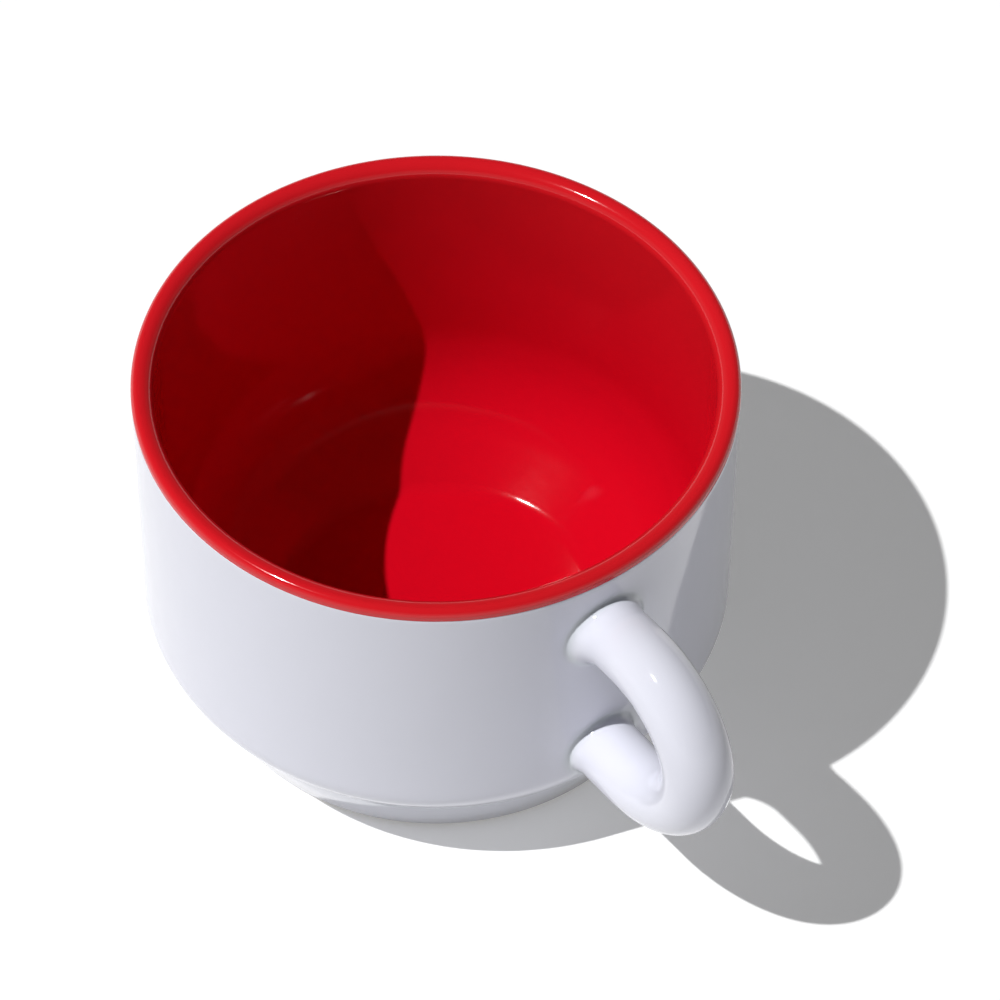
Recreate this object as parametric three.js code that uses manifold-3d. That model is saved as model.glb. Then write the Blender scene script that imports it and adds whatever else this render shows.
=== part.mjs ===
// Low stacking coffee cup with a round loop handle
//
// The cup is made the way a pottery makes it. A cast clay body and a cast handle are joined with
// slip, fired, and coated with two glazes: red inside and over the lip, white outside. Each of
// these is a mesh of its own in the exported group.
//
// Units are millimetres. The shapes are drawn about the cup's own axis, with Z up, the foot on
// Z = 0 and the handle towards +X. The group is then moved along X, so that its origin is the
// middle of the whole cup's footprint, handle included.

import * as THREE from 'three';
import { mergeVertices } from 'three/addons/utils/BufferGeometryUtils.js';
import Module from 'manifold-3d';

const wasm = await Module();
wasm.setup();

// Driving dimensions of the cup's outside
const cupHeight = 62.5;
const rimRadius = 45;
const wallLean = 0.4;
const shoulderHeight = 18.7;
const shoulderRadius = 7.2;
const shoulderTurn = 33;
const creaseHeight = 9.6;
const creaseTurn = 10;
const creaseRadius = 0.6;
const hollowRadius = 4;
const stackingRoom = 4.5;
const footRingWidth = 4.2;
const footRounding = 0.4;
const recessDepth = 1.3;

// Driving dimensions of the cup's inside
const lipOuterRadius = 1.2;
const lipInnerRadius = 2.3;
const floorHeight = 4.6;
const floorRadius = 24;
const floorFillet = 5;
const bowlSlope = 36;
const bowlRadius = 20.6;

// Driving dimensions of the glaze
const coat = 0.35;
const glazeLine = 0.5;
const seamBelowRim = 1.8;

// Driving dimensions of the handle, with its coat on
const handleRadius = 5.2;
const upperArmBelowRim = 11.6;
const lowerArmAboveShoulder = 3.9;
const armRise = 10.1;
const armLength = 7.6;
const bendReach = 15.8;

// Driving dimensions of the slip fillets round the handle's two roots
const upperFlare = 2;
const upperFlareLength = 4.5;
const upperFlareDrop = 1.2;
const lowerFlare = 1;
const lowerFlareLength = 2.8;
const lowerFlareDrop = 0;

// Depth to which the handle's roots run into the wall before they are cut off at its face
const rootDepth = 2;

// Clearance that a piece keeps where its neighbour cuts it
const seatGap = 0.3;

// Fineness of the facets
const turnSegments = 48;
const arcStepAngle = 18;
const tubeSides = 16;
const handleSteps = 24;
const flareSteps = 3;
const weldDistance = 1e-5;

// Sizes that follow from those above. The body leans out from the rim down to the shoulder, and
// the foot goes inside the rim of a like cup with room to spare.
const lipThickness = lipOuterRadius + lipInnerRadius;
const innerRadius = rimRadius - lipThickness;
const bodyRadius = rimRadius + wallLean;
const footRadius = innerRadius - stackingRoom;
const upperRoot = cupHeight - upperArmBelowRim;
const lowerRoot = shoulderHeight + lowerArmAboveShoulder;
const armSpacing = upperRoot - lowerRoot;
const handleMiddle = (upperRoot + lowerRoot) / 2;

const rad = THREE.MathUtils.degToRad;
const point = (r, z) => new THREE.Vector2(r, z);

// Points of an arc in the (r, z) plane. Angles are in degrees, 0 pointing away from the axis and
// 90 up.
function arc(centre, radius, from, to) {
  const steps = Math.max(2, Math.round(Math.abs(to - from) / arcStepAngle));
  const points = [];
  for (let i = 0; i <= steps; i++) {
    const angle = rad(from + (to - from) * i / steps);
    points.push(point(centre.x + radius * Math.cos(angle), centre.y + radius * Math.sin(angle)));
  }
  return points;
}

// Where a line through the point a, at a slope, reaches the height z. The slope is in degrees
// from vertical, leaning away from the axis as it rises.
const radiusOnSlope = (a, slope, z) => a.x + (z - a.y) * Math.tan(rad(slope));

// The lip has a tight round on its outside and a wider one on its inside, which meet on top. The
// seam between the two glazes runs round the wall a little below the outer round.
const outerLipCentre = point(rimRadius - lipOuterRadius, cupHeight - lipOuterRadius);
const innerLipCentre = point(outerLipCentre.x, cupHeight - lipInnerRadius);
const seamHeight = cupHeight - seamBelowRim;
const belowLip = outerLipCentre.y - seamHeight;
const seamRadius = rimRadius + wallLean * belowLip / (outerLipCentre.y - shoulderHeight);

// Outside of the cup, from the seam down to the bare foot. A grow of 0 gives the glazed surface,
// and minus the coat gives the clay under it.
const shoulderCentre = point(bodyRadius - shoulderRadius, shoulderHeight);

function outsideOutline(grow) {
  const shoulder = arc(shoulderCentre, shoulderRadius + grow, 0, -shoulderTurn);

  // The slope under the shoulder ends in a soft edge, whose round touches it
  const glazedTurn = arc(shoulderCentre, shoulderRadius, 0, -shoulderTurn).at(-1);
  const alongSlope = radiusOnSlope(glazedTurn, shoulderTurn, creaseHeight);
  const edgeCentre = point(alongSlope - creaseRadius / Math.cos(rad(shoulderTurn)), creaseHeight);
  const steepTurn = shoulderTurn + creaseTurn;
  const edge = arc(edgeCentre, creaseRadius + grow, -shoulderTurn, -steepTurn);

  // A shallow hollow follows, whose centre lies outside the clay
  const apart = creaseRadius + hollowRadius;
  const hollowCentre = point(
    edgeCentre.x + apart * Math.cos(rad(steepTurn)),
    edgeCentre.y - apart * Math.sin(rad(steepTurn)),
  );

  // The band under it is the straight line that touches the hollow and ends at the foot
  const acrossFoot = hollowCentre.x - footRadius;
  const distance = Math.hypot(acrossFoot, hollowCentre.y);
  const bandTurn = Math.atan2(acrossFoot, hollowCentre.y) - Math.asin(hollowRadius / distance);
  const bandDegrees = THREE.MathUtils.radToDeg(bandTurn);
  const hollow = arc(hollowCentre, hollowRadius - grow, 180 - steepTurn, 180 - bandDegrees);
  const footEdge = footRadius + glazeLine * Math.tan(bandTurn) + grow / Math.cos(bandTurn);

  return [
    point(seamRadius + grow, seamHeight),
    ...shoulder,
    ...edge,
    ...hollow.slice(1),
    point(footEdge, glazeLine),
  ];
}

// Inside of the cup, from the seam over the lip and down to the middle of the floor. A grow of 0
// gives the glazed surface, and minus the coat gives the clay under it.
const bowlFoot = point(innerRadius - bowlRadius * (1 - Math.sin(rad(bowlSlope))), 0);
const filletEnd = point(
  floorRadius + floorFillet * Math.sin(rad(bowlSlope)),
  floorHeight + floorFillet * (1 - Math.cos(rad(bowlSlope))),
);
bowlFoot.y = filletEnd.y + (bowlFoot.x - filletEnd.x) * Math.tan(rad(bowlSlope));
const bowlCentre = point(
  innerRadius - bowlRadius,
  bowlFoot.y + bowlRadius * Math.cos(rad(bowlSlope)),
);
const floorFilletCentre = point(floorRadius, floorHeight + floorFillet);

function insideOutline(grow) {
  return [
    point(seamRadius + grow, seamHeight),
    ...arc(outerLipCentre, lipOuterRadius + grow, 0, 90),
    ...arc(innerLipCentre, lipInnerRadius + grow, 90, 180).slice(1),
    ...arc(bowlCentre, bowlRadius - grow, 0, bowlSlope - 90),
    ...arc(floorFilletCentre, floorFillet - grow, bowlSlope - 90, -90),
    point(0, floorHeight + grow),
  ];
}

// The bare foot ring and the recess inside it, from the glaze line to the middle of the recess.
// The ring goes straight down from where the glazed clay ends.
const ringOuter = outsideOutline(-coat).at(-1).x;
const ringInner = footRadius - footRingWidth;
const recessCeiling = recessDepth + coat;

function footOutline() {
  return [
    ...arc(point(ringOuter - footRounding, footRounding), footRounding, 0, -90),
    ...arc(point(ringInner + footRounding, footRounding), footRounding, -90, -180),
    point(ringInner, recessCeiling),
    point(0, recessCeiling),
  ];
}

// Turn an outline round the cup's axis. The outline runs anticlockwise in the (r, z) plane, and
// starts and ends on the axis or closes on itself.
function turned(outline) {
  const geometry = new THREE.LatheGeometry(outline, turnSegments);
  geometry.rotateX(Math.PI / 2);
  return closed(geometry);
}

// Merge a geometry's vertices by position and drop the slivers that have no area
function closed(geometry) {
  geometry.deleteAttribute('normal');
  geometry.deleteAttribute('uv');
  const merged = mergeVertices(geometry, weldDistance);
  const index = merged.index.array;
  const kept = [];
  for (let i = 0; i < index.length; i += 3) {
    const [a, b, c] = index.slice(i, i + 3);
    if (a !== b && b !== c && c !== a) kept.push(a, b, c);
  }
  merged.setIndex(kept);
  return merged;
}

// Pass a geometry to the solid library and back
function solid(geometry) {
  return new wasm.Manifold(new wasm.Mesh({
    numProp: 3,
    vertProperties: new Float32Array(geometry.attributes.position.array),
    triVerts: new Uint32Array(geometry.index.array),
  }));
}

function geometryOf(body) {
  const { vertProperties, triVerts } = body.getMesh();
  const geometry = new THREE.BufferGeometry();
  geometry.setAttribute('position', new THREE.Float32BufferAttribute(vertProperties, 3));
  geometry.setIndex(Array.from(triVerts));
  return geometry;
}

// Middle line of the handle. It leaves the wall, rises along a straight arm, goes round half an
// ellipse and comes back along a second arm at the same rise.
class HandleLine extends THREE.Curve {
  constructor() {
    super();
    this.start = bodyRadius - rootDepth;
    this.bendStart = bodyRadius + armLength;
    this.arm = this.bendStart - this.start;
    this.bend = armSpacing / 2 + bendReach;
  }

  getPoint(t, target = new THREE.Vector3()) {
    const along = t * (2 * this.arm + this.bend);
    let x;
    let side;
    if (along < this.arm) {
      x = this.start + along;
      side = 1;
    } else if (along > this.arm + this.bend) {
      x = this.bendStart - (along - this.arm - this.bend);
      side = -1;
    } else {
      const turn = Math.PI / 2 * (1 - 2 * (along - this.arm) / this.bend);
      x = this.bendStart + bendReach * Math.cos(turn);
      side = Math.sin(turn);
    }
    return target.set(x, 0, handleMiddle + side * armSpacing / 2 + armClimb(x));
  }

  // Rings are spaced by the line's own parameter, which puts the middle one on the bend's
  // furthest point
  getUtoTmapping(u) {
    return u;
  }
}

// How far an arm has risen at a distance x from the cup's axis
const armClimb = (x) => (x - bodyRadius) * Math.tan(rad(armRise));

function handleTube(radius) {
  const circle = new THREE.Shape(
    Array.from({ length: tubeSides }, (_, i) => {
      const angle = 2 * Math.PI * i / tubeSides;
      return point(radius * Math.cos(angle), radius * Math.sin(angle));
    }),
  );
  const along = { steps: handleSteps, extrudePath: new HandleLine() };
  return solid(closed(new THREE.ExtrudeGeometry(circle, along)));
}

// A flare is a trumpet that stands on the wall and narrows to the arm's own radius. Its middle
// starts below the arm's middle line by its drop, and meets that line at its far end.
function flare(root, extra, length, drop, radius) {
  const outline = [point(0, -rootDepth), point(radius + extra, -rootDepth)];
  for (let i = 0; i <= flareSteps; i++) {
    const angle = Math.PI / 2 * i / flareSteps;
    outline.push(point(radius + extra * (1 - Math.sin(angle)), length * (1 - Math.cos(angle))));
  }
  outline.push(point(0, length));
  const trumpet = new THREE.LatheGeometry(outline, tubeSides);
  trumpet.rotateZ(-Math.PI / 2);

  // Each ring stays parallel to the wall, and its middle climbs from the dropped foot
  const climb = Math.tan(rad(armRise)) + drop / length;
  const stretch = 1 / Math.cos(rad(armRise));
  trumpet.applyMatrix4(new THREE.Matrix4().set(
    1, 0, 0, bodyRadius,
    0, 1, 0, 0,
    climb, 0, stretch, root - drop,
    0, 0, 0, 1,
  ));
  return solid(closed(trumpet));
}

const upperTrumpet = (radius) => (
  flare(upperRoot, upperFlare, upperFlareLength, upperFlareDrop, radius)
);
const lowerTrumpet = (radius) => (
  flare(lowerRoot, lowerFlare, lowerFlareLength, lowerFlareDrop, radius)
);

// Solid block with the cup's outside and no hollow, for cutting what stands on the wall
function filledCup(grow) {
  const outline = outsideOutline(grow).reverse();
  return solid(turned([point(0, glazeLine), ...outline, point(0, seamHeight)]));
}

// Clay body: wall, floor, shoulder and foot ring in one casting
const bodyOutline = [
  ...footOutline().reverse(),
  ...outsideOutline(-coat).reverse(),
  ...insideOutline(-coat).slice(1),
];
const clayBody = turned(bodyOutline);

// Red glaze: a skin on the inside and over the lip
const insideGlaze = turned([...insideOutline(-coat).reverse(), ...insideOutline(0)]);

// White glaze in the recess under the floor
const baseGlaze = turned([
  point(0, recessDepth),
  point(ringInner, recessDepth),
  point(ringInner, recessCeiling),
  point(0, recessCeiling),
]);

// Handle: a bent round bar, cut to the wall at both ends
const clayRadius = handleRadius - coat;
const clearWall = filledCup(seatGap - coat);
const handleBar = handleTube(clayRadius);
const handle = geometryOf(handleBar.subtract(clearWall));

// Slip fillets: a ring of clay round each root, between the wall and the bar
const clearBar = handleTube(clayRadius + seatGap);
const slipRing = (trumpet) => geometryOf(trumpet.subtract(clearBar).subtract(clearWall));
const upperJoint = slipRing(upperTrumpet(clayRadius));
const lowerJoint = slipRing(lowerTrumpet(clayRadius));

// White glaze: one skin over the wall, the shoulder, both fillets and the handle
const glazedShape = filledCup(0)
  .add(handleTube(handleRadius))
  .add(upperTrumpet(handleRadius))
  .add(lowerTrumpet(handleRadius));
const outsideGlaze = geometryOf(
  glazedShape
    .subtract(handleBar)
    .subtract(upperTrumpet(clayRadius))
    .subtract(lowerTrumpet(clayRadius))
    .subtract(filledCup(-coat)),
);

// Materials
const clay = { color: 0xe3dccb, roughness: 0.85, metalness: 0 };
const slip = { color: 0xdcd4c2, roughness: 0.9, metalness: 0 };
const redGlaze = { color: 0xd81420, roughness: 0.12, metalness: 0 };
const whiteGlaze = { color: 0xeceaee, roughness: 0.12, metalness: 0 };

function piece(name, geometry, look) {
  const mesh = new THREE.Mesh(geometry, new THREE.MeshStandardMaterial(look));
  mesh.name = name;
  return mesh;
}

const handleReach = bodyRadius + armLength + bendReach + handleRadius;

const cup = new THREE.Group();
cup.position.x = (bodyRadius - handleReach) / 2;
cup.add(
  piece('clay_body', clayBody, clay),
  piece('handle', handle, clay),
  piece('upper_handle_joint', upperJoint, slip),
  piece('lower_handle_joint', lowerJoint, slip),
  piece('inside_glaze', insideGlaze, redGlaze),
  piece('outside_glaze', outsideGlaze, whiteGlaze),
  piece('base_glaze', baseGlaze, whiteGlaze),
);

export default cup;
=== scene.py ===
# %% [markdown]
# A low stacking cup with a loop handle
#
# The real cup is cast from pale clay and coated with two glazes: red inside and over the lip,
# white outside. A construction model gives every size and place. This lesson builds the fine
# surfaces round that model, one piece at a time, and gives each of them its finish.

# %% Load the construction model
import math

import bmesh
import bpy
import numpy as np
from mathutils import Matrix, Vector


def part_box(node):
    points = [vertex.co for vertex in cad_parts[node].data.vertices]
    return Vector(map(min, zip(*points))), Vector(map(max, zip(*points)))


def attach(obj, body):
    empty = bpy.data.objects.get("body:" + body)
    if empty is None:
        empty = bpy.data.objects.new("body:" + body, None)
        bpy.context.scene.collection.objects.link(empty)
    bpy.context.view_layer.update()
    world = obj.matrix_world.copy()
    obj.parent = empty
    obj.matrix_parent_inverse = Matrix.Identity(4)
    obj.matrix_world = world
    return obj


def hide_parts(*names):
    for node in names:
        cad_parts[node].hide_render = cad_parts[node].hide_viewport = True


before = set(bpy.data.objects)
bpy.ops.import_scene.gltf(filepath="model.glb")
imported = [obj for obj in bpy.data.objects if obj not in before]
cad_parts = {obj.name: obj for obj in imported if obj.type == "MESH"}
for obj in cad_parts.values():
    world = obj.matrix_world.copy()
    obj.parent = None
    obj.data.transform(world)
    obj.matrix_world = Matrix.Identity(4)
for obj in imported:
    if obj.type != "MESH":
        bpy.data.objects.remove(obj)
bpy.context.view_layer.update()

print("nodes:", ", ".join(sorted(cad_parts)))

# %% [markdown]
# Sizes taken from the construction
#
# A piece that is measured from its neighbours can't drift away from them. The rim, the coats, the
# foot and the handle's bar are read off the construction's own boxes. Only what a box can't tell,
# such as the shoulder's roundness, is written here as a real size.

# %% Read the sizes off the boxes
MM = 0.001

clay_low, clay_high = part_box("clay_body")
red_low, red_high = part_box("inside_glaze")
white_low, white_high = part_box("outside_glaze")
base_low, base_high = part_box("base_glaze")
_, bar_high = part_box("handle")
_, upper_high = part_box("upper_handle_joint")
_, lower_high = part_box("lower_handle_joint")

axis_x = (clay_low.x + clay_high.x) / 2
body_radius = white_high.y
coat = body_radius - clay_high.y
seam_radius = red_high.y
cup_height = red_high.z
seam_height = white_high.z
glaze_line = white_low.z
recess_radius = base_high.y
recess_depth = base_low.z
recess_ceiling = base_high.z
floor_height = red_low.z + coat
handle_radius = bar_high.y + coat
handle_reach = white_high.x - axis_x
upper_flare = upper_high.y - bar_high.y
lower_flare = lower_high.y - bar_high.y

print(f"body {2 * body_radius / MM:.1f} mm across, {cup_height / MM:.1f} mm high")
print(f"coat {coat / MM:.2f} mm thick")

# %% Sizes that no box tells
# lengths are in metres; the shoulder's and crease's turns and the bowl's slope are in degrees
wall_lean = 0.4 * MM
lip_outer_radius = 1.2 * MM
lip_inner_radius = 2.3 * MM
shoulder_height = 18.7 * MM
shoulder_radius = 7.2 * MM
shoulder_turn = 33
crease_height = 9.6 * MM
crease_turn = 10
crease_radius = 0.6 * MM
hollow_radius = 4 * MM
stacking_room = 4.5 * MM
foot_rounding = 0.4 * MM

floor_radius = 24 * MM
floor_fillet = 5 * MM
bowl_slope = 36
bowl_radius = 20.6 * MM

arm_rise = math.radians(10.1)
arm_length = 7.6 * MM
upper_root = cup_height - 11.6 * MM
lower_root = shoulder_height + 3.9 * MM
upper_flare_length = 4.5 * MM
upper_flare_drop = 1.2 * MM
lower_flare_length = 2.8 * MM
lower_flare_drop = 0

rim_radius = body_radius - wall_lean
inner_radius = rim_radius - lip_outer_radius - lip_inner_radius
foot_radius = inner_radius - stacking_room
bend_reach = handle_reach - handle_radius - arm_length - body_radius
print(f"rim {2 * rim_radius / MM:.1f} mm across, foot {2 * foot_radius / MM:.1f} mm across")
print(f"the handle stands out {(handle_reach - body_radius) / MM:.1f} mm")

# %% [markdown]
# Outlines of the body
#
# A round pot is one outline turned about an axis. Half of the cup's section is made of straight
# lines and arcs, in the same order as a potter's template would have them. One number, grow, moves
# the outline out or in, so the same few lines give the glaze's face and the clay under it.

# %% Arcs and the outside outline
ARC_STEP = 3


def arc(centre, radius, start, end):
    """Points of an arc. Angles are in degrees, 0 away from the axis and 90 up."""
    steps = max(2, round(abs(end - start) / ARC_STEP))
    angles = np.radians(np.linspace(start, end, steps + 1))
    return [(centre[0] + radius * math.cos(a), centre[1] + radius * math.sin(a)) for a in angles]


outer_lip_centre = (rim_radius - lip_outer_radius, cup_height - lip_outer_radius)
inner_lip_centre = (rim_radius - lip_outer_radius, cup_height - lip_inner_radius)
shoulder_centre = (body_radius - shoulder_radius, shoulder_height)


def outside_outline(grow):
    """From the seam under the lip, down the wall, the shoulder and the band, to the foot."""
    slope = math.radians(shoulder_turn)
    steep = math.radians(shoulder_turn + crease_turn)
    turn_r, turn_z = arc(shoulder_centre, shoulder_radius, 0, -shoulder_turn)[-1]
    edge_r = turn_r + (crease_height - turn_z) * math.tan(slope) - crease_radius / math.cos(slope)
    apart = crease_radius + hollow_radius
    hollow_r = edge_r + apart * math.cos(steep)
    hollow_z = crease_height - apart * math.sin(steep)
    # the band is the line from the foot that just touches the hollow's arc
    to_hollow = (hollow_r - foot_radius, hollow_z)
    band = math.atan2(*to_hollow) - math.asin(hollow_radius / math.hypot(*to_hollow))
    steep, band_turn = math.degrees(steep), math.degrees(band)
    return np.array([
        (seam_radius + grow, seam_height),
        *arc(shoulder_centre, shoulder_radius + grow, 0, -shoulder_turn),
        *arc((edge_r, crease_height), crease_radius + grow, -shoulder_turn, -steep),
        *arc((hollow_r, hollow_z), hollow_radius - grow, 180 - steep, 180 - band_turn)[1:],
        (foot_radius + glaze_line * math.tan(band) + grow / math.cos(band), glaze_line),
    ])


crease_r, crease_z = outside_outline(0)[1 + round(shoulder_turn / ARC_STEP) + 1]
print(f"the shoulder ends {crease_r / MM:.1f} mm from the axis, {crease_z / MM:.1f} mm up")

# %% The inside outline
floor_turn = math.radians(bowl_slope)
fillet_centre = (floor_radius, floor_height + floor_fillet)
bowl_foot_r = inner_radius - bowl_radius * (1 - math.sin(floor_turn))
fillet_end_r = floor_radius + floor_fillet * math.sin(floor_turn)
fillet_end_z = floor_height + floor_fillet * (1 - math.cos(floor_turn))
bowl_foot_z = fillet_end_z + (bowl_foot_r - fillet_end_r) * math.tan(floor_turn)
bowl_centre = (inner_radius - bowl_radius, bowl_foot_z + bowl_radius * math.cos(floor_turn))


def inside_outline(grow):
    """From the seam over the lip, down the inside and across the floor to the axis."""
    return np.array([
        (seam_radius + grow, seam_height),
        *arc(outer_lip_centre, lip_outer_radius + grow, 0, 90),
        *arc(inner_lip_centre, lip_inner_radius + grow, 90, 180)[1:],
        *arc(bowl_centre, bowl_radius - grow, 0, bowl_slope - 90),
        *arc(fillet_centre, floor_fillet - grow, bowl_slope - 90, -90),
        (0, floor_height + grow),
    ])


print(f"the bowl's slope runs from {bowl_foot_z / MM:.1f} down to {fillet_end_z / MM:.1f} mm up")

# %% The foot's outline
def foot_outline():
    """The bare ring that the cup stands on, and the recess inside it."""
    ring = outside_outline(-coat)[-1][0]
    return np.array([
        *arc((ring - foot_rounding, foot_rounding), foot_rounding, 0, -90),
        *arc((recess_radius + foot_rounding, foot_rounding), foot_rounding, -90, -180),
        (recess_radius, recess_ceiling),
        (0, recess_ceiling),
    ])


flat_ring = outside_outline(-coat)[-1][0] - recess_radius - 2 * foot_rounding
print(f"the flat ring that the cup stands on is {flat_ring / MM:.1f} mm wide")

# %% [markdown]
# Camera
#
# The photograph looks down into the cup from about 50 degrees, with a long lens. The camera comes
# first, so that each later piece can be set against the picture as soon as it is there.

# %% Place the camera
camera_data = bpy.data.cameras.new("camera")
camera_data.lens = 162
camera_data.sensor_width = 36
camera_data.clip_start = 0.01
camera_data.clip_end = 50
camera = bpy.data.objects.new("camera", camera_data)
bpy.context.scene.collection.objects.link(camera)
bpy.context.scene.camera = camera

CAMERA_FROM_AXIS = Vector((0.366384, -0.235214, 0.562005))
LOOK_AT_FROM_AXIS = Vector((0.005401, 0.008015, 0.033344))
CAMERA_ROLL = math.radians(0.825)

axis = Vector((axis_x, 0, 0))
forward = (LOOK_AT_FROM_AXIS - CAMERA_FROM_AXIS).normalized()
right = forward.cross(Vector((0, 0, 1))).normalized()
right = Matrix.Rotation(-CAMERA_ROLL, 3, forward) @ right
turn = Matrix((right, right.cross(forward), -forward)).transposed()
camera.matrix_world = Matrix.Translation(axis + CAMERA_FROM_AXIS) @ turn.to_4x4()
print(f"the camera looks down at {math.degrees(math.asin(-forward.z)):.1f} degrees")

# %% [markdown]
# Light, floor and background
#
# One key light stands high on the left and leaves a clear shadow on the right. Most of the fill is
# light that the pale floor sends back up, under the shoulder and onto the foot. The rest is a faint
# dome, brighter low down on the camera's side and dim overhead, so the inside of the cup stays
# deep. Together they give a level surface a strength of about one, so a colour renders about as it
# is written. The camera sees floor and dome white. A gloss sees the floor white too, and the dome
# low down, where a backdrop would stand. What they light isn't changed by that.

# %% Key light
KEY_SHARE = 0.84
KEY_ANGLE = math.radians(0.7)
TOWARDS_KEY = Vector((-0.158, -0.603, 1)).normalized()

key_data = bpy.data.lights.new("key", "SUN")
key_data.energy = KEY_SHARE * math.pi / TOWARDS_KEY.z
key_data.angle = KEY_ANGLE
key = bpy.data.objects.new("key", key_data)
key.rotation_mode = "QUATERNION"
key.rotation_quaternion = TOWARDS_KEY.to_track_quat("Z", "Y")
bpy.context.scene.collection.objects.link(key)
key_height = math.degrees(math.asin(TOWARDS_KEY.z))
print(f"key light: strength {key_data.energy:.2f}, {key_height:.0f} degrees high")

# %% [markdown]
# Nodes by name
#
# Dome, floor, finishes and geometry trees are all built of nodes. Drawn by hand they are boxes and
# wires. Here a few short helpers add a node and wire it in one call, so a later cell reads as one
# sum after another. What feeds a socket is a plain number or colour, or another node's output.

# %% A short way to add a node
def feed(tree, node, values):
    """Sets a node's sockets. A value is a number, a colour, or the output that feeds the socket."""
    for name, value in values.items():
        if isinstance(value, bpy.types.NodeSocket):
            tree.links.new(value, node.inputs[name])
        else:
            node.inputs[name].default_value = value


def add(tree, kind, values=None, **settings):
    """Adds a node, changes its settings and feeds its sockets."""
    made = tree.nodes.new(kind)
    for name, value in settings.items():
        setattr(made, name, value)
    feed(tree, made, values or {})
    return made


# %% Sums, mixes and ranges
def maths(tree, operation, first, second=0.0, clamp=False):
    """The result of one sum on two numbers or outputs."""
    values = {0: first, 1: second}
    return add(tree, "ShaderNodeMath", values, operation=operation, use_clamp=clamp).outputs[0]


def mixed(tree, share, low, high):
    """A colour between two others."""
    return add(tree, "ShaderNodeMix", {0: share, 6: low, 7: high}, data_type="RGBA").outputs[2]


def ranged(tree, value, low, high, to_low=0.0, to_high=1.0, smooth=False):
    """A number moved from one range to another, and kept inside it."""
    values = {0: value, 1: low, 2: high, 3: to_low, 4: to_high}
    shape = "SMOOTHSTEP" if smooth else "LINEAR"
    return add(tree, "ShaderNodeMapRange", values, interpolation_type=shape).outputs[0]


# %% Kinds of rays
def rays(tree, *kinds):
    """1 for rays of the given kinds, such as those from the camera, and 0 for all others."""
    path = add(tree, "ShaderNodeLightPath")
    seen = 0.0
    for kind in kinds:
        seen = maths(tree, "ADD", path.outputs[f"Is {kind} Ray"], seen, clamp=True)
    return seen


# %% Dome
def grey(level):
    """A grey, as a colour."""
    return level, level, level, 1


OVERHEAD = 0.01
BRIGHT_SIDE, DARK_SIDE = 0.42, 0.1
BRIGHT_SIDE_AT = math.radians(-45)
# heights on a dome of radius 1, where the low fill and the backdrop begin and end to fade
FILL_FADE = 0.35, 0.65
BACKDROP_FADE = 0.08, 0.2

world = bpy.data.worlds.new("studio")
bpy.context.scene.world = world
world.use_nodes = True
sky = world.node_tree
sky.nodes.clear()

direction = add(sky, "ShaderNodeTexCoord").outputs["Generated"]
height = add(sky, "ShaderNodeSeparateXYZ", {0: direction}).outputs["Z"]
level = add(sky, "ShaderNodeVectorMath", {0: direction, 1: (1, 1, 0)}, operation="MULTIPLY")
level = add(sky, "ShaderNodeVectorMath", {0: level.outputs[0]}, operation="NORMALIZE")
towards_side = (math.cos(BRIGHT_SIDE_AT), math.sin(BRIGHT_SIDE_AT), 0)
facing = {0: level.outputs[0], 1: towards_side}
facing = add(sky, "ShaderNodeVectorMath", facing, operation="DOT_PRODUCT").outputs["Value"]
low_fill = ranged(sky, facing, -1.0, 1.0, DARK_SIDE, BRIGHT_SIDE)
rising = ranged(sky, height, *FILL_FADE, smooth=True)
fill = mixed(sky, rising, low_fill, grey(OVERHEAD))

backdrop = ranged(sky, height, *BACKDROP_FADE, 1.0, 0.0, smooth=True)
seen = maths(sky, "MULTIPLY", rays(sky, "Glossy", "Transmission"), backdrop)
seen = maths(sky, "ADD", rays(sky, "Camera"), seen, clamp=True)
glow = add(sky, "ShaderNodeBackground", {"Color": mixed(sky, seen, fill, grey(1))})
add(sky, "ShaderNodeOutputWorld", {"Surface": glow.outputs[0]})
print(f"dome: {DARK_SIDE} to {BRIGHT_SIDE} low down, {OVERHEAD} overhead")


# %% Floor
def new_material(name):
    """An empty material, its tree, and the shader that ends in its output."""
    material = bpy.data.materials.new(name)
    material.use_nodes = True
    tree = material.node_tree
    tree.nodes.clear()
    shader = add(tree, "ShaderNodeBsdfPrincipled")
    add(tree, "ShaderNodeOutputMaterial", {"Surface": shader.outputs[0]})
    return material, tree, shader


FLOOR_RADIUS = 4
FLOOR_SIDES = 64
FLOOR_BOUNCE = 0.7
SEEN_FLOOR = 0.86
SHADOW_LIFT = 0.24

paper, tree, shader = new_material("pale_floor")
seen = rays(tree, "Camera", "Glossy", "Transmission")
feed(tree, shader, {
    "Base Color": mixed(tree, seen, grey(FLOOR_BOUNCE), grey(SEEN_FLOOR)),
    "Roughness": 1.0,
    "Specular IOR Level": 0.0,
    "Emission Color": mixed(tree, seen, grey(0), grey(SHADOW_LIFT)),
    "Emission Strength": 1.0,
})

floor_mesh = bpy.data.meshes.new("floor")
shape = bmesh.new()
bmesh.ops.create_circle(shape, cap_ends=True, segments=FLOOR_SIDES, radius=FLOOR_RADIUS)
shape.to_mesh(floor_mesh)
shape.free()
floor = bpy.data.objects.new("floor", floor_mesh)
floor_mesh.materials.append(paper)
bpy.context.scene.collection.objects.link(floor)
print(f"floor: {2 * FLOOR_RADIUS} m across")
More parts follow.
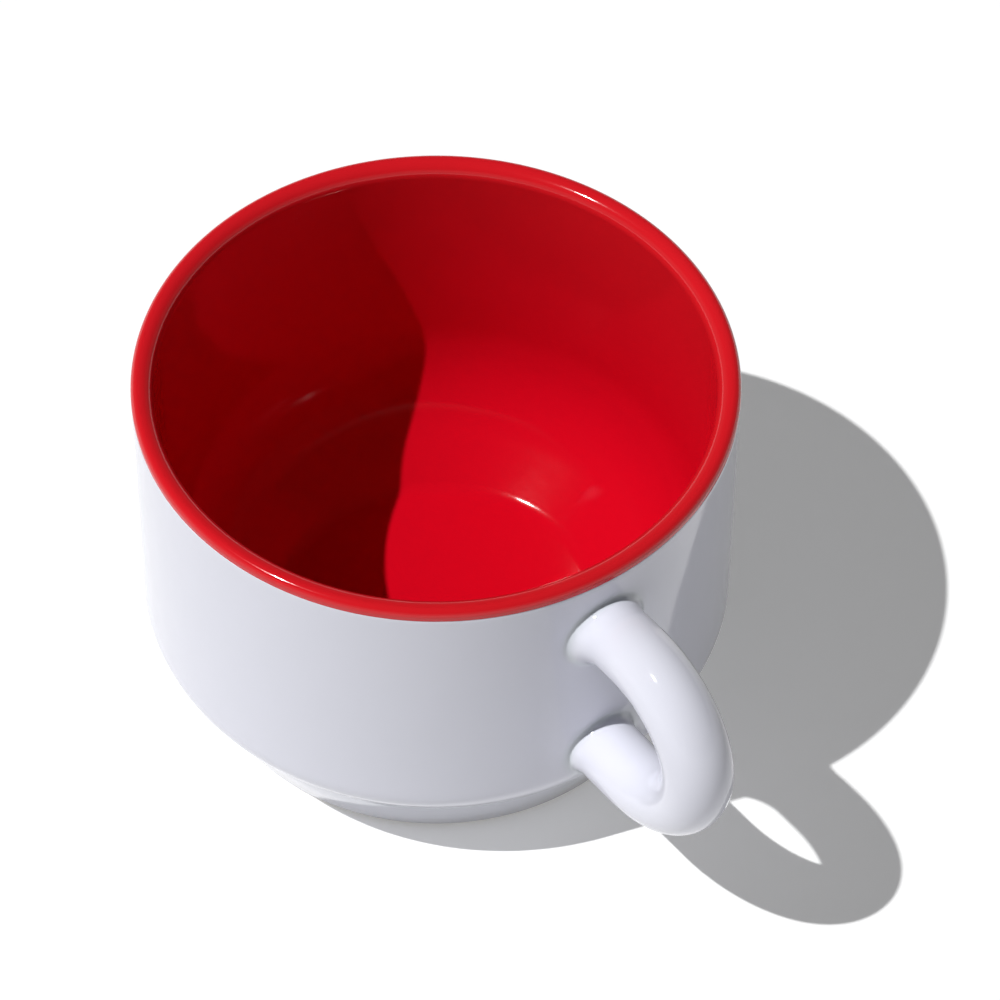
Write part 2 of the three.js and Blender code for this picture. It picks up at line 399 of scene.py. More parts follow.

# %% [markdown]
# Finishes
#
# Two effects are shared. A glaze can have a slow cloud in its colour, slow waves and a finer ripple
# like orange peel, a grain that breaks up its highlights, and a deeper tone where it lies thick.
# The same deeper tone also carries painted shade and a painted reflection.
# Fired clay has specks, a tooth and a dull face. Each effect is a node group, and each material
# gives it its own colours and strengths. The gloss itself stays in the material's own shader.


# %% Start a node group
def new_group(name, kind, inputs, outputs):
    """A node tree with named sockets, and its input and output nodes."""
    tree = bpy.data.node_groups.new(name, kind)
    for title, (socket, value) in inputs.items():
        made = tree.interface.new_socket(name=title, in_out="INPUT", socket_type=socket)
        if value is not None:
            made.default_value = value
    for title, socket in outputs.items():
        tree.interface.new_socket(name=title, in_out="OUTPUT", socket_type=socket)
    given = tree.nodes.new("NodeGroupInput").outputs
    return tree, given, tree.nodes.new("NodeGroupOutput").inputs


COLOUR, NUMBER, VECTOR = "NodeSocketColor", "NodeSocketFloat", "NodeSocketVector"
MICRON = 1e-6


def noise(tree, place, size, detail=2.0, roughness=0.5):
    """Smooth noise from 0 to 1, whose marks are about as large as size, in metres."""
    values = {"Vector": place, "Scale": 1 / size, "Detail": detail, "Roughness": roughness}
    return add(tree, "ShaderNodeTexNoise", values).outputs[0]


# %% Glaze effect
CLOUD_SIZE, CLOUD_SPAN = 14 * MM, (0.35, 0.65)
WAVE_SIZE, WAVE_HEIGHT = 9 * MM, 40.0
RIPPLE_SIZE, RIPPLE_HEIGHT = 3.2 * MM, 9.0
GRAIN_SIZE, GRAIN_SPAN, GRAIN_DULLS = 0.28 * MM, (0.2, 0.8), (0.8, 1.25)

glaze_effect, given, out = new_group(
    "glaze_effect", "ShaderNodeTree",
    {
        "Colour": (COLOUR, (0.8, 0.8, 0.8, 1)),
        "Deep colour": (COLOUR, (0.7, 0.7, 0.7, 1)),
        "Thickness": (NUMBER, 0.0),
        "Cloud": (NUMBER, 0.3),
        "Gloss": (NUMBER, 0.9),
        "Ripple": (NUMBER, 1.0),
        "Grain": (NUMBER, 1.0),
    },
    {"Colour": COLOUR, "Roughness": NUMBER, "Normal": VECTOR},
)
tree = glaze_effect
place = add(tree, "ShaderNodeTexCoord").outputs["Object"]
cloud = noise(tree, place, CLOUD_SIZE, detail=3.0)
slow_wave = noise(tree, place, WAVE_SIZE, detail=0.0)
ripple = noise(tree, place, RIPPLE_SIZE, detail=1.0)
grain = noise(tree, place, GRAIN_SIZE, detail=2.0)

# the mix toward the deep colour takes the cloud and a number per point that holds glaze thickness
# and painted light
depth = maths(tree, "MULTIPLY", ranged(tree, cloud, *CLOUD_SPAN), given["Cloud"])
depth = maths(tree, "ADD", depth, given["Thickness"], clamp=True)
tree.links.new(mixed(tree, depth, given["Colour"], given["Deep colour"]), out["Colour"])

dull = maths(tree, "SUBTRACT", 1.0, given["Gloss"])
uneven = ranged(tree, grain, *GRAIN_SPAN, *GRAIN_DULLS)
tree.links.new(maths(tree, "MULTIPLY", dull, uneven), out["Roughness"])

waves = maths(tree, "MULTIPLY", slow_wave, WAVE_HEIGHT)
waves = maths(tree, "ADD", waves, maths(tree, "MULTIPLY", ripple, RIPPLE_HEIGHT))
waves = maths(tree, "MULTIPLY", waves, given["Ripple"])
relief = maths(tree, "ADD", waves, maths(tree, "MULTIPLY", grain, given["Grain"]))
bump = add(tree, "ShaderNodeBump", {"Strength": 1.0, "Distance": MICRON, "Height": relief})
tree.links.new(bump.outputs["Normal"], out["Normal"])
print("glaze effect:", len(tree.nodes), "nodes")

# %% Fired clay effect
SPECK_SPACING, SPECK_EDGE, SPECK_CHANCE = 0.9 * MM, (0.10, 0.22), (0.62, 0.7)
WARMTH_SIZE, WARMTH_SPAN, WARMTH = 9 * MM, (0.3, 0.7), (0.94, 1.05)
SAND_SIZE, SAND_SPAN, SAND_DULLS = 0.22 * MM, (0.3, 0.7), (0.72, 0.92)
TOOTH_HEIGHT = 30 * MICRON

clay_effect, given, out = new_group(
    "fired_clay_effect", "ShaderNodeTree",
    {
        "Colour": (COLOUR, (0.77, 0.72, 0.6, 1)),
        "Speck colour": (COLOUR, (0.35, 0.25, 0.16, 1)),
        "Specks": (NUMBER, 0.5),
        "Tooth": (NUMBER, 1.0),
    },
    {"Colour": COLOUR, "Roughness": NUMBER, "Normal": VECTOR},
)
tree = clay_effect
place = add(tree, "ShaderNodeTexCoord").outputs["Object"]
cells = add(tree, "ShaderNodeTexVoronoi", {"Vector": place, "Scale": 1 / SPECK_SPACING})
speck = ranged(tree, cells.outputs["Distance"], *SPECK_EDGE, 1.0, 0.0, smooth=True)
chance = add(tree, "ShaderNodeSeparateColor", {0: cells.outputs["Color"]}).outputs["Red"]
speck = maths(tree, "MULTIPLY", speck, ranged(tree, chance, *SPECK_CHANCE))
speck = maths(tree, "MULTIPLY", speck, given["Specks"])
warmth = ranged(tree, noise(tree, place, WARMTH_SIZE, detail=4.0), *WARMTH_SPAN, *WARMTH)
pale = {"Color": given["Colour"], "Value": warmth}
pale = add(tree, "ShaderNodeHueSaturation", pale).outputs[0]
tree.links.new(mixed(tree, speck, pale, given["Speck colour"]), out["Colour"])

sand = noise(tree, place, SAND_SIZE, detail=4.0, roughness=0.65)
tree.links.new(ranged(tree, sand, *SAND_SPAN, *SAND_DULLS), out["Roughness"])
tooth = maths(tree, "MULTIPLY", sand, given["Tooth"])
bump = add(tree, "ShaderNodeBump", {"Strength": 1.0, "Distance": TOOTH_HEIGHT, "Height": tooth})
tree.links.new(bump.outputs["Normal"], out["Normal"])
print("clay effect:", len(tree.nodes), "nodes")


# %% [markdown]
# Red, white and bare clay
#
# On the real cup both glazes are glass over a pigment, so one shader with a colour under a gloss
# does for each. The red is strong and even, so it has no cloud, and over the lip it is paler:
# partly thin glaze, partly a painted reflection. Its waves are higher than the white's, because its
# highlights in the photo are more uneven, and it mirrors a little less. The white is faintly blue,
# partly its own tint and partly painted skylight. Clay and slip are bare, dull and specked, and the
# slip is a little darker and smoother than the clay.

# %% Finishes made with the effects
def finish_with(name, effect, values, own):
    """A material whose colour, roughness and relief come from one effect."""
    material, tree, shader = new_material(name)
    group = add(tree, "ShaderNodeGroup", node_tree=effect)
    feed(tree, group, values)
    feed(tree, shader, {
        "Base Color": group.outputs["Colour"],
        "Roughness": group.outputs["Roughness"],
        "Normal": group.outputs["Normal"],
        **own,
    })
    return material, tree, group


def glaze_finish(name, values, own):
    """A glaze that also reads off its mesh, point by point, how thick it lies and how much painted
    light it carries.
    """
    material, tree, group = finish_with(name, glaze_effect, values, own)
    # this number holds glaze thickness, painted shade in the white's hollows and a painted
    # reflection over the red lip
    thickness_and_painted_light = add(tree, "ShaderNodeAttribute", attribute_name="thickness_and_painted_light").outputs["Fac"]
    feed(tree, group, {"Thickness": thickness_and_painted_light})
    return material


# the first colour is the paler red over the lip: partly thin glaze, partly a painted reflection of
# the pale surroundings
red_glaze = glaze_finish("red_glaze_finish", {
    "Colour": (0.68, 0.011, 0.018, 1),
    "Deep colour": (0.63, 0.002, 0.013, 1),
    "Cloud": 0.0,
    "Gloss": 0.91,
    "Ripple": 2.4,
    "Grain": 3.0,
}, {"IOR": 1.5, "Specular IOR Level": 0.42})
# the white's faint blue is partly its own tint and partly painted skylight
white_glaze = glaze_finish("white_glaze_finish", {
    "Colour": (0.775, 0.78, 0.87, 1),
    "Deep colour": (0.71, 0.745, 0.80, 1),
    "Cloud": 0.06,
    "Gloss": 0.93,
    "Ripple": 0.7,
    "Grain": 0.6,
}, {"IOR": 1.5})
clay, *_ = finish_with("bare_clay_finish", clay_effect, {
    "Colour": (0.768, 0.716, 0.597, 1), "Specks": 0.5, "Tooth": 1.0,
}, {"IOR": 1.45})
slip, *_ = finish_with("slip_finish", clay_effect, {
    "Colour": (0.716, 0.658, 0.539, 1), "Specks": 0.25, "Tooth": 0.6,
}, {"IOR": 1.45})
print("finishes:", red_glaze.name, white_glaze.name, clay.name, slip.name)

# %% [markdown]
# Turning on the wheel
#
# The clay body, the red lining and the glaze in the recess are round, so all three come from one
# Geometry Nodes tree. It lays a grid, gives each row a point of the outline and each column an
# angle, and welds the seam and the poles. A Screw modifier could do it too. The tree was chosen
# because its axis, its number of steps and its finish are inputs that three pieces share.

# %% The turning tree
TURN_STEPS = 240
WELD = 2 * MICRON

turning, given, out = new_group(
    "turned_on_the_wheel", "GeometryNodeTree",
    {
        "Outline": ("NodeSocketGeometry", None),
        "Steps": ("NodeSocketInt", TURN_STEPS),
        "Axis X": (NUMBER, 0.0),
        "Weld": (NUMBER, WELD),
        "Finish": ("NodeSocketMaterial", None),
    },
    {"Turned piece": "NodeSocketGeometry"},
)
tree = turning
counted = add(tree, "GeometryNodeAttributeDomainSize", {0: given["Outline"]})
rows = counted.outputs["Point Count"]
columns = maths(tree, "ADD", given["Steps"], 1.0)
grid = add(tree, "GeometryNodeMeshGrid", {"Vertices X": columns, "Vertices Y": rows})

index = add(tree, "GeometryNodeInputIndex").outputs[0]
row = maths(tree, "MODULO", index, rows)
# the half keeps the share from falling just short of a whole number
column = maths(tree, "FLOOR", maths(tree, "DIVIDE", maths(tree, "ADD", index, 0.5), rows))
angle = maths(tree, "DIVIDE", maths(tree, "MULTIPLY", column, 2 * math.pi), given["Steps"])

here = add(tree, "GeometryNodeInputPosition").outputs[0]
sample = add(
    tree, "GeometryNodeSampleIndex", {"Geometry": given["Outline"], "Value": here, "Index": row},
    data_type="FLOAT_VECTOR", domain="POINT",
)
outline_point = add(tree, "ShaderNodeSeparateXYZ", {0: sample.outputs[0]})
radius = outline_point.outputs["X"]
along_x = maths(tree, "MULTIPLY", radius, maths(tree, "COSINE", angle))
along_x = maths(tree, "ADD", along_x, given["Axis X"])
along_y = maths(tree, "MULTIPLY", radius, maths(tree, "SINE", angle))
spot = add(tree, "ShaderNodeCombineXYZ", {0: along_x, 1: along_y, 2: outline_point.outputs["Z"]})


# %% How each tree ends
def finish_tree(tree, made, given, out):
    """Smooth shading, no instances and the given finish, as every tree here ends."""
    smooth = add(tree, "GeometryNodeSetShadeSmooth", {"Geometry": made})
    real = add(tree, "GeometryNodeRealizeInstances", {"Geometry": smooth.outputs[0]})
    values = {"Geometry": real.outputs[0], "Material": given["Finish"]}
    tree.links.new(add(tree, "GeometryNodeSetMaterial", values).outputs[0], out[0])


moved = {"Geometry": grid.outputs["Mesh"], "Position": spot.outputs[0]}
moved = add(tree, "GeometryNodeSetPosition", moved).outputs[0]
welded = add(tree, "GeometryNodeMergeByDistance", {"Geometry": moved, "Distance": given["Weld"]})
finish_tree(tree, welded.outputs[0], given, out)
print("turning tree:", len(tree.nodes), "nodes")

# %% [markdown]
# From a tree to a plain piece
#
# A geometry tree stays live on its object, and works again whenever something asks for the shape.
# What is wanted here is a plain mesh, so the tree is run once, its result is kept and the modifier
# taken off. Then the mesh is welded and its faces are turned outwards, because an outline that
# runs the other way round gives a shell that is inside out.

# %% An outline or a line as a piece
def piece_of_points(name, points, edges=()):
    """An object at the origin that holds an outline or a line."""
    mesh = bpy.data.meshes.new(name)
    mesh.from_pydata([tuple(p) for p in points], edges, [])
    made = bpy.data.objects.new(name, mesh)
    bpy.context.scene.collection.objects.link(made)
    return made


# %% Run a tree
def made_by(tree, piece, inputs):
    """Runs a geometry tree on a piece, and leaves the result as the piece's own plain mesh."""
    modifier = piece.modifiers.new(tree.name, "NODES")
    modifier.node_group = tree
    for item in tree.interface.items_tree:
        if item.in_out == "INPUT" and item.name in inputs:
            modifier[item.identifier] = inputs[item.name]
    evaluated = piece.evaluated_get(bpy.context.evaluated_depsgraph_get())
    mesh = bpy.data.meshes.new_from_object(evaluated)
    piece.modifiers.remove(modifier)
    piece.data = mesh
    return piece


# %% Weld a piece and turn it outwards
SHARP = math.radians(40)


def tidied(piece):
    """Welds a piece, drops what has no area, turns its faces outwards, marks its sharp edges."""
    shape = bmesh.new()
    shape.from_mesh(piece.data)
    bmesh.ops.remove_doubles(shape, verts=shape.verts, dist=WELD)
    bmesh.ops.delete(shape, geom=[e for e in shape.edges if not e.link_faces], context="EDGES")
    bmesh.ops.delete(shape, geom=[v for v in shape.verts if not v.link_faces], context="VERTS")
    bmesh.ops.recalc_face_normals(shape, faces=shape.faces)
    open_edges = sum(len(e.link_faces) != 2 for e in shape.edges)
    volume = shape.calc_volume(signed=True) / MM ** 3
    for face in shape.faces:
        face.smooth = True
    shape.to_mesh(piece.data)
    shape.free()
    piece.data.set_sharp_from_angle(angle=SHARP)
    triangles = sum(len(p.vertices) - 2 for p in piece.data.polygons)
    print(f"{piece.name}: {triangles} triangles, {open_edges} open edges, {volume:.0f} mm3")
    return piece


def turned_piece(name, outline, finish):
    """A round piece from a closed outline of points (distance from the axis, height)."""
    points = [(r, 0, z) for r, z in outline]
    piece = piece_of_points(name, [*points, points[0]])
    return tidied(made_by(turning, piece, {"Axis X": axis_x, "Finish": finish}))


# %% [markdown]
# Clay body, red lining and recess glaze
#
# The clay shows only at the bare ring that the cup stands on, where glaze would stick to the kiln
# shelf. The lining is a coat of its own over the clay, from the seam under the lip to the middle
# of the floor. It has its full thickness, and surface tension has rounded its edge at the seam, so
# a fine groove with its own glint parts the two glazes.

# %% Turn the three round pieces
SEAM_EDGE = 0.12 * MM
FOOT_EDGE = 0.3 * MM
RECESS_ROWS = 24

clay_body = turned_piece("clay_wall_and_foot", [
    *inside_outline(-coat)[1:], *foot_outline()[::-1], *outside_outline(-coat)[::-1],
], clay)
lining_edge = arc((seam_radius - SEAM_EDGE, seam_height + SEAM_EDGE), SEAM_EDGE, -90, 0)
lining = turned_piece("red_lining", [
    *lining_edge, *inside_outline(0)[1:], *inside_outline(-coat)[::-1],
], red_glaze)
recess = turned_piece("recess_glaze", [
    *((r, recess_depth) for r in np.linspace(0, recess_radius, RECESS_ROWS)),
    (recess_radius, recess_ceiling), (0, recess_ceiling),
], white_glaze)

# %% [markdown]
# White glaze: wall and handle under one skin
#
# The white glaze runs over the wall, the slip fillets and the handle without a break, so all of
# them are one surface here. The wall is a grid of rows and columns with a window left open round
# each root. A window's edge has as many points as the handle has sides, so rings can lead from the
# window, over the hollow flare of the fillet, and on along the bar. A boolean union would leave
# slivers and a hard line where the parts cross, and a gloss shows both.

# %% Rows of the wall
TUBE_SIDES = 80
HALF_COLUMNS = 8
HALF_ROWS = 12
ROW_STEP = 0.742 * MM
LEAST_STEP = 0.1 * MM
ROWS_TO_UPPER, ROWS_TO_LOWER = 4, 10
EDGE_TURNS = np.radians([0, 30, 60, 90])

wall_line = outside_outline(0)
wall_steps = np.linalg.norm(np.diff(wall_line, axis=0), axis=1)
wall_run = np.concatenate([[0], np.cumsum(wall_steps)])


def run_at(z, grow):
    """Distance down the outline, from the seam, at a height on the wall."""
    return np.interp(-np.asarray(z), -outside_outline(grow)[:, 1], wall_run)


def wall_radius_at(z, grow):
    """The wall's radius at a height."""
    line = outside_outline(grow)
    return np.interp(-np.asarray(z), -line[:, 1], line[:, 0])


def wall_point(run, angle, grow):
    """Points on the wall, from their distance down it and their angle round the axis."""
    line = outside_outline(grow)
    run, angle = np.broadcast_arrays(run, angle)
    radius = np.interp(run, wall_run, line[:, 0])
    height = np.interp(run, wall_run, line[:, 1])
    return np.stack([axis_x + radius * np.cos(angle), radius * np.sin(angle), height], -1)


def rounded_edge(size):
    """For the rows of a rounded edge: how far they are from its end, and how far they lie in."""
    return size * (1 - np.sin(EDGE_TURNS)), size * (1 - np.cos(EDGE_TURNS))


# %% Lay the rows out
seam_rows, seam_inset = rounded_edge(SEAM_EDGE)
foot_rows, foot_inset = rounded_edge(FOOT_EDGE)
window_steps = np.arange(-HALF_ROWS, HALF_ROWS + 1) * ROW_STEP
upper_rows = run_at(upper_root - upper_flare_drop, 0) + window_steps
lower_rows = run_at(lower_root - lower_flare_drop, 0) + window_steps
wall_rows = np.concatenate([
    seam_rows[::-1],
    np.linspace(SEAM_EDGE, upper_rows[0], ROWS_TO_UPPER)[1:-1],
    upper_rows,
    np.linspace(upper_rows[-1], lower_rows[0], ROWS_TO_LOWER)[1:-1],
    lower_rows,
    wall_run[wall_run > lower_rows[-1] + LEAST_STEP][:-1],
    wall_run[-1] - foot_rows,
])
inset = np.zeros(len(wall_rows))
inset[:len(seam_inset)] = seam_inset[::-1]
inset[-len(foot_inset):] = foot_inset
upper_row = int(np.argmin(abs(wall_rows - upper_rows[HALF_ROWS])))
lower_row = int(np.argmin(abs(wall_rows - lower_rows[HALF_ROWS])))
assert 4 * (HALF_COLUMNS + HALF_ROWS) == TUBE_SIDES
print(f"{len(wall_rows)} rows of {TURN_STEPS} on the wall")

# %% [markdown]
# The handle's bar
#
# The bar is a round section swept along a line: a straight arm, half an ellipse and a second arm,
# both arms rising outwards. A second Geometry Nodes tree makes it, with the radius and the number
# of sides as inputs. It is run for the glaze's face, for its back and for the clay inside.

# %% The bar tree
sweeping, given, out = new_group(
    "bar_along_a_line", "GeometryNodeTree",
    {
        "Line": ("NodeSocketGeometry", None),
        "Radius": (NUMBER, handle_radius),
        "Sides": ("NodeSocketInt", TUBE_SIDES),
        "Finish": ("NodeSocketMaterial", None),
    },
    {"Bar": "NodeSocketGeometry"},
)
tree = sweeping
line = add(tree, "GeometryNodeMeshToCurve", {0: given["Line"]})
section = {"Resolution": given["Sides"], "Radius": given["Radius"]}
section = add(tree, "GeometryNodeCurvePrimitiveCircle", section)
bar = {"Curve": line.outputs[0], "Profile Curve": section.outputs[0]}
finish_tree(tree, add(tree, "GeometryNodeCurveToMesh", bar).outputs[0], given, out)
print("bar tree:", len(tree.nodes), "nodes")

# %% The bar's middle line
SQUARE_FROM = 6.2 * MM
ARM_RINGS = 2
BEND_STEPS = 88

bend_start = body_radius + arm_length
square_start = body_radius + SQUARE_FROM
handle_middle = (upper_root + lower_root) / 2
arm_spacing = upper_root - lower_root


def on_handle_line(x, side):
    """A point of the middle line. The side runs from 1 on the upper arm to -1 on the lower one."""
    climb = (x - body_radius) * math.tan(arm_rise)
    return axis_x + x, 0, handle_middle + side * arm_spacing / 2 + climb


straight = np.linspace(square_start, bend_start, ARM_RINGS, endpoint=False)
bend = np.radians(np.linspace(90, -90, BEND_STEPS + 1))
handle_line = [
    *(on_handle_line(x, 1) for x in straight),
    *(on_handle_line(bend_start + bend_reach * math.cos(t), math.sin(t)) for t in bend),
    *(on_handle_line(x, -1) for x in straight[::-1]),
]
line_edges = [(i, i + 1) for i in range(len(handle_line) - 1)]
print(f"{len(handle_line)} rings on the bar")


def swept_bar(grow):
    """Points and faces of the bar, from the square ring on one arm to that on the other."""
    piece = piece_of_points("bar", handle_line, line_edges)
    made_by(sweeping, piece, {"Radius": handle_radius + grow, "Finish": white_glaze})
    points = np.array([v.co for v in piece.data.vertices])
    faces = [tuple(p.vertices) for p in piece.data.polygons]
    bpy.data.objects.remove(piece)
    return points, faces


# %% [markdown]
# The roots
#
# A potter wets both parts with slip, presses the handle on, and wipes the slip into a hollow
# fillet. In section the fillet is a quarter of an ellipse: it leaves the wall along the wall and
# joins the bar along the bar. The upper one is wider and sags a little below its arm.

# %% Rings of a root
round_tube = np.arange(TUBE_SIDES) * 2 * math.pi / TUBE_SIDES
FLARE_STEPS = 10
BLEND_STEPS = 4
SEAT_ROUNDS = 8
# for the upper side, 1, and the lower side, -1: height, width, length and drop of the flare
ROOTS = {
    1: (upper_root, upper_flare, upper_flare_length, upper_flare_drop),
    -1: (lower_root, lower_flare, lower_flare_length, lower_flare_drop),
}


def flare_ring(side, bow, grow, flared=True):
    """One ring of a flare. The bow is 0 where it leaves the wall and 90 degrees at the bar."""
    root, width, length, drop = ROOTS[side]
    extra = width if flared else 0
    out = length * (1 - math.cos(bow))
    radius = handle_radius + grow + extra * (1 - math.sin(bow))
    y = radius * np.sin(round_tube)
    x = np.full(TUBE_SIDES, body_radius + out)
    # the arm rises and the wall is curved, so the ring settles on the wall in a few rounds
    for _ in range(SEAT_ROUNDS):
        middle = root + (x - body_radius) * math.tan(arm_rise) - drop * (1 - out / length)
        z = middle + side * radius * np.cos(round_tube) / math.cos(arm_rise)
        x = np.sqrt(wall_radius_at(z, grow) ** 2 - y ** 2) + out
    return np.stack([axis_x + x, y, z], -1)


def square_ring(side, x, grow):
    """A ring square to a straight arm, round the middle line's point at x from the axis."""
    up = side * (handle_radius + grow) * np.cos(round_tube)
    centre = on_handle_line(x, side)
    return np.stack([
        centre[0] - up * math.sin(arm_rise),
        (handle_radius + grow) * np.sin(round_tube),
        centre[2] + up * math.cos(arm_rise),
    ], -1)


# %% From a window's edge to the bar
def window_corners(side):
    """Column and row offsets round a window's edge, from the bar's outer side on."""
    w, h = HALF_COLUMNS, HALF_ROWS
    steps = [(c, h) for c in range(w)] + [(w, h - k) for k in range(2 * h)]
    steps += [(w - k, -h) for k in range(2 * w)] + [(-w, -h + k) for k in range(2 * h)]
    steps += [(-w + k, h) for k in range(w)]
    return [(column, -side * up) for column, up in steps]


def root_rings(side, grow, edge_runs, edge_angles):
    """All rings from just inside the window's edge to the square ring that starts the bar."""
    foot = flare_ring(side, 0, grow)
    foot_run = run_at(foot[:, 2], grow)
    foot_angle = np.arctan2(foot[:, 1], foot[:, 0] - axis_x)
    rings = []
    for t in np.linspace(0, 1, BLEND_STEPS + 1)[1:-1]:
        runs = edge_runs + t * (foot_run - edge_runs)
        angles = edge_angles + t * (foot_angle - edge_angles)
        rings.append(wall_point(runs, angles, grow))
    bows = np.radians(np.linspace(0, 90, FLARE_STEPS + 1))
    rings += [flare_ring(side, bow, grow) for bow in bows]
    last = square_ring(side, square_start, grow)
    return [*rings, rings[-1] + (last - rings[-1]) / 2, last]


# %% Join ring to ring
def between(before, here):
    """Faces between two rings of as many points."""
    after = [*range(1, len(here)), 0]
    return [(before[k], before[n], here[n], here[k]) for k, n in enumerate(after)]


def lay_rings(points, faces, before, rings):
    """Adds rings of points one after another, each joined to the one before it."""
    for ring in rings:
        here = list(range(len(points), len(points) + TUBE_SIDES))
        points.extend(ring)
        faces.extend(between(before, here))
        before = here


# %% The wall and its windows
def wall_grid(grow):
    """Points and faces of the wall with its two windows, and the number of each grid point."""
    points, faces, number = [], [], {}
    half = TURN_STEPS // 2
    angles = np.arange(TURN_STEPS) * 2 * math.pi / TURN_STEPS
    for i, run in enumerate(wall_rows):
        row = wall_point(run, angles, grow)
        # only the glaze's face has rounded edges, its back follows the clay
        if grow == 0:
            radius = math.hypot(row[0][0] - axis_x, row[0][1])
            row[:, :2] = (row[:, :2] - [axis_x, 0]) * (1 - inset[i] / radius) + [axis_x, 0]
        from_window = min(abs(i - upper_row), abs(i - lower_row))
        for j in range(TURN_STEPS):
            column = (j + half) % TURN_STEPS - half
            if abs(column) >= HALF_COLUMNS or from_window >= HALF_ROWS:
                number[i, column] = len(points)
                points.append(row[j])
    for i in range(len(wall_rows) - 1):
        in_rows = any(-HALF_ROWS <= i - row < HALF_ROWS for row in (upper_row, lower_row))
        for column in range(-half, half):
            if in_rows and -HALF_COLUMNS <= column < HALF_COLUMNS:
                continue
            beside = column + 1 if column + 1 < half else -half
            corners = (i, column), (i + 1, column), (i + 1, beside), (i, beside)
            faces.append(tuple(number[corner] for corner in corners))
    return points, faces, number


# %% Stitch wall, roots and bar
def skin(grow):
    """Points and faces of the whole skin, and the rings of points at its two open edges."""
    points, faces, number = wall_grid(grow)
    for side, middle_row in ((1, upper_row), (-1, lower_row)):
        offsets = window_corners(side)
        edge = [number[middle_row + down, column] for column, down in offsets]
        edge_runs = np.array([wall_rows[middle_row + down] for _, down in offsets])
        edge_angles = np.array([column for column, _ in offsets]) * 2 * math.pi / TURN_STEPS
        lay_rings(points, faces, edge, root_rings(side, grow, edge_runs, edge_angles))

    bar_points, bar_faces = swept_bar(grow)
    faces += [tuple(v + len(points) for v in face) for face in bar_faces]
    points.extend(bar_points)
    columns = range(-(TURN_STEPS // 2), TURN_STEPS // 2)
    top = [number[0, column] for column in columns]
    bottom = [number[len(wall_rows) - 1, column] for column in columns]
    return np.array(points), faces, top, bottom


# %% Close the skin to a coat
def mesh_piece(name, points, faces, finish):
    """An object at the origin, from points and faces, welded and turned outwards."""
    mesh = bpy.data.meshes.new(name)
    mesh.from_pydata(np.asarray(points).tolist(), [], faces)
    mesh.materials.append(finish)
    piece = bpy.data.objects.new(name, mesh)
    bpy.context.scene.collection.objects.link(piece)
    return tidied(piece)


def coat_piece(name, finish):
    """The skin's face and back, joined at the seam under the lip and at the line over the foot."""
    face_points, face_faces, *face_edges = skin(0)
    back_points, back_faces, *back_edges = skin(-coat)
    start = len(face_points)
    faces = face_faces + [tuple(v + start for v in reversed(f)) for f in back_faces]
    for front, back in zip(face_edges, back_edges):
        faces += between(front, [v + start for v in back])
    return mesh_piece(name, np.concatenate([face_points, back_points]), faces, finish)


white_skin = coat_piece("white_wall_and_handle", white_glaze)

# %% [markdown]
# Clay bar and slip under the skin
#
# Glaze hides the handle's own clay and the slip at its roots, but whoever cuts the cup open or
# takes its glaze off finds them. Both are made of the skin's own rings, set further in by a
# coat's thickness, so neither can come through the glaze.

# %% The clay bar
FIRST_BOW = math.radians(12)


def clay_bar(name, finish):
    """The bar inside the glaze, from one end by the wall to the other."""
    points, faces = swept_bar(-coat)
    points = list(points)
    bows = np.linspace(FIRST_BOW, math.pi / 2, FLARE_STEPS)
    for side in ROOTS:
        rings = [flare_ring(side, bow, -coat, flared=False) for bow in bows]
        rings.append(square_ring(side, square_start, -coat))
        points.append(rings[0].mean(axis=0))
        lay_rings(points, faces, [len(points) - 1] * TUBE_SIDES, rings)
    faces = [tuple(dict.fromkeys(face)) for face in faces]
    return mesh_piece(name, points, faces, finish)


# %% The rings of slip
CLEAR = 0.03 * MM
LAST_BOW = math.radians(70)


def slip_ring(name, side, finish):
    """The slip between the clay bar, the clay wall and the glaze over both."""
    bows = np.linspace(FIRST_BOW, LAST_BOW, FLARE_STEPS)
    rings = [flare_ring(side, bow, -coat - CLEAR) for bow in bows]
    rings += [flare_ring(side, bow, -coat + CLEAR, flared=False) for bow in bows[::-1]]
    points, faces = [], []
    last = range((len(rings) - 1) * TUBE_SIDES, len(rings) * TUBE_SIDES)
    lay_rings(points, faces, last, rings)
    return mesh_piece(name, points, faces, finish)


clay_core = clay_bar("handle_clay", clay)
upper_slip = slip_ring("upper_slip", 1, slip)
lower_slip = slip_ring("lower_slip", -1, slip)

# %% [markdown]
# Where the glaze pools, and where shade and a reflection are painted
#
# Wet glaze draws back from an edge, and runs into hollows and lies thicker there. On the white, a
# deeper tone round the handle's roots, in the hollow over the foot and in the recess's corner is
# partly that and partly painted shade. The red is thin and a little paler over the lip, partly from
# that and partly a painted reflection, and has its full depth from 5 mm below the rim down. Each
# coat carries a number, point by point, that says how thick it lies and how much painted light it
# carries, and its material reads that number.

# %% Mark the hollows
from mathutils.kdtree import KDTree

LIP_THIN, LIP_FULL = 1 * MM, 5 * MM
# points of the wall's outline, counted from its end, that lie in the hollow over the foot
FOOT_HOLLOW, FOOT_REACH, FOOT_SHARE = slice(-12, -7), 1.2 * MM, 0.7
ROOT_BOW, ROOT_REACH = 0.35, 0.7 * MM
RECESS_REACH = 1.5 * MM
COUNTED_FROM = 0.2
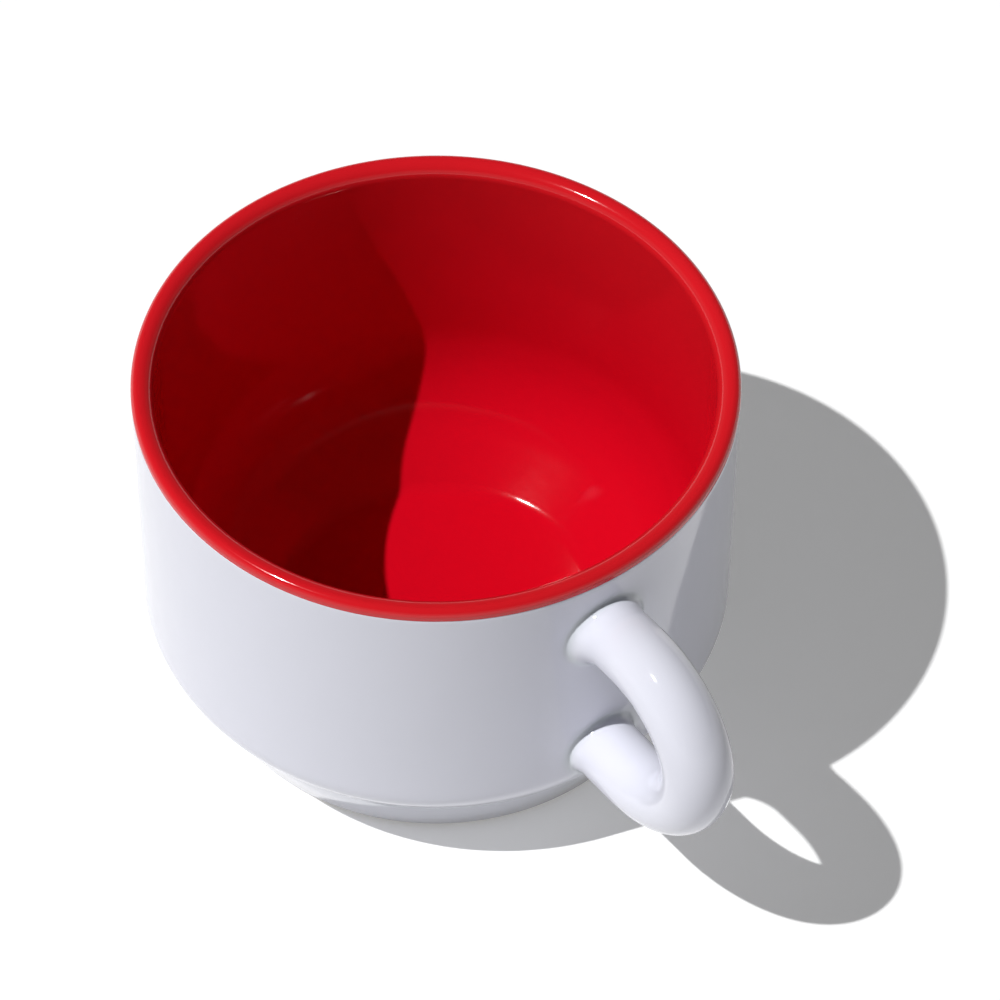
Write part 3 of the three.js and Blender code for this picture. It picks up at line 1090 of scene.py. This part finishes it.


# this mark puts painted shade, partly glaze lying thick, into hollows and corners
def mark_hollows_for_painted_shade(piece, hollows, reach, turned=True):
    """A number for each point that falls from 1 in the hollows to 0 a few reaches away.

    A turned hollow is a point of an outline, (distance from the axis, 0, height), and counts all
    the way round.
    """
    tree = KDTree(len(hollows))
    for i, place in enumerate(hollows):
        tree.insert(place, i)
    tree.balance()
    values = []
    for vertex in piece.data.vertices:
        x, y, z = vertex.co
        where = (math.hypot(x - axis_x, y), 0, z) if turned else vertex.co
        values.append(math.exp(-(tree.find(where)[2] / reach) ** 2))
    return np.array(values)


def mark_by_height(piece, dry, full):
    """A number for each point that rises from 0 at the height dry to 1 at the height full."""
    heights = np.array([vertex.co.z for vertex in piece.data.vertices])
    share = np.clip((heights - dry) / (full - dry), 0, 1)
    return share * share * (3 - 2 * share)


def keep_thickness_and_painted_light(piece, *marks):
    """Stores the largest of several marks on a piece."""
    values = np.max(marks, axis=0)
    kept = piece.data.attributes.new("thickness_and_painted_light", "FLOAT", "POINT")
    kept.data.foreach_set("value", values.astype(np.float32))
    print(f"{piece.name}: pooled on {100 * np.mean(values > COUNTED_FROM):.0f}% of its points")


# %% Lip, foot, roots and recess
foot_hollow = [(r, 0, z) for r, z in wall_line[FOOT_HOLLOW]]
root_hollows = np.concatenate([flare_ring(side, ROOT_BOW, 0) for side in ROOTS])

# the red is paler above this band: partly thin glaze, partly a painted reflection
keep_thickness_and_painted_light(lining, mark_by_height(lining, cup_height - LIP_THIN, cup_height - LIP_FULL))
# the white's deeper tone in the hollow over the foot and round the roots is painted shade, partly
# glaze lying thick
keep_thickness_and_painted_light(
    white_skin,
    FOOT_SHARE * mark_hollows_for_painted_shade(white_skin, foot_hollow, FOOT_REACH),
    mark_hollows_for_painted_shade(white_skin, root_hollows, ROOT_REACH, turned=False),
)
# the recess glaze is darker towards its corner: painted shade, partly glaze lying thick
keep_thickness_and_painted_light(recess, mark_hollows_for_painted_shade(recess, [(recess_radius, 0, recess_depth)], RECESS_REACH))

# %% [markdown]
# Hand the pieces over
#
# Each new piece takes the place of a node of the construction, which is hidden. All of them ride
# on the cup's one body, because nothing on a cup moves.

# %% Replace and ride
for piece, node, slot in (
    (clay_body, "clay_body", "clay"),
    (lining, "inside_glaze", "red_glaze"),
    (recess, "base_glaze", "white_glaze"),
    (white_skin, "outside_glaze", "white_glaze"),
    (clay_core, "handle", "clay"),
    (upper_slip, "upper_handle_joint", "slip"),
    (lower_slip, "lower_handle_joint", "slip"),
):
    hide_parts(node)
    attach(piece, "root")

bpy.context.scene.view_settings.view_transform = "Standard"
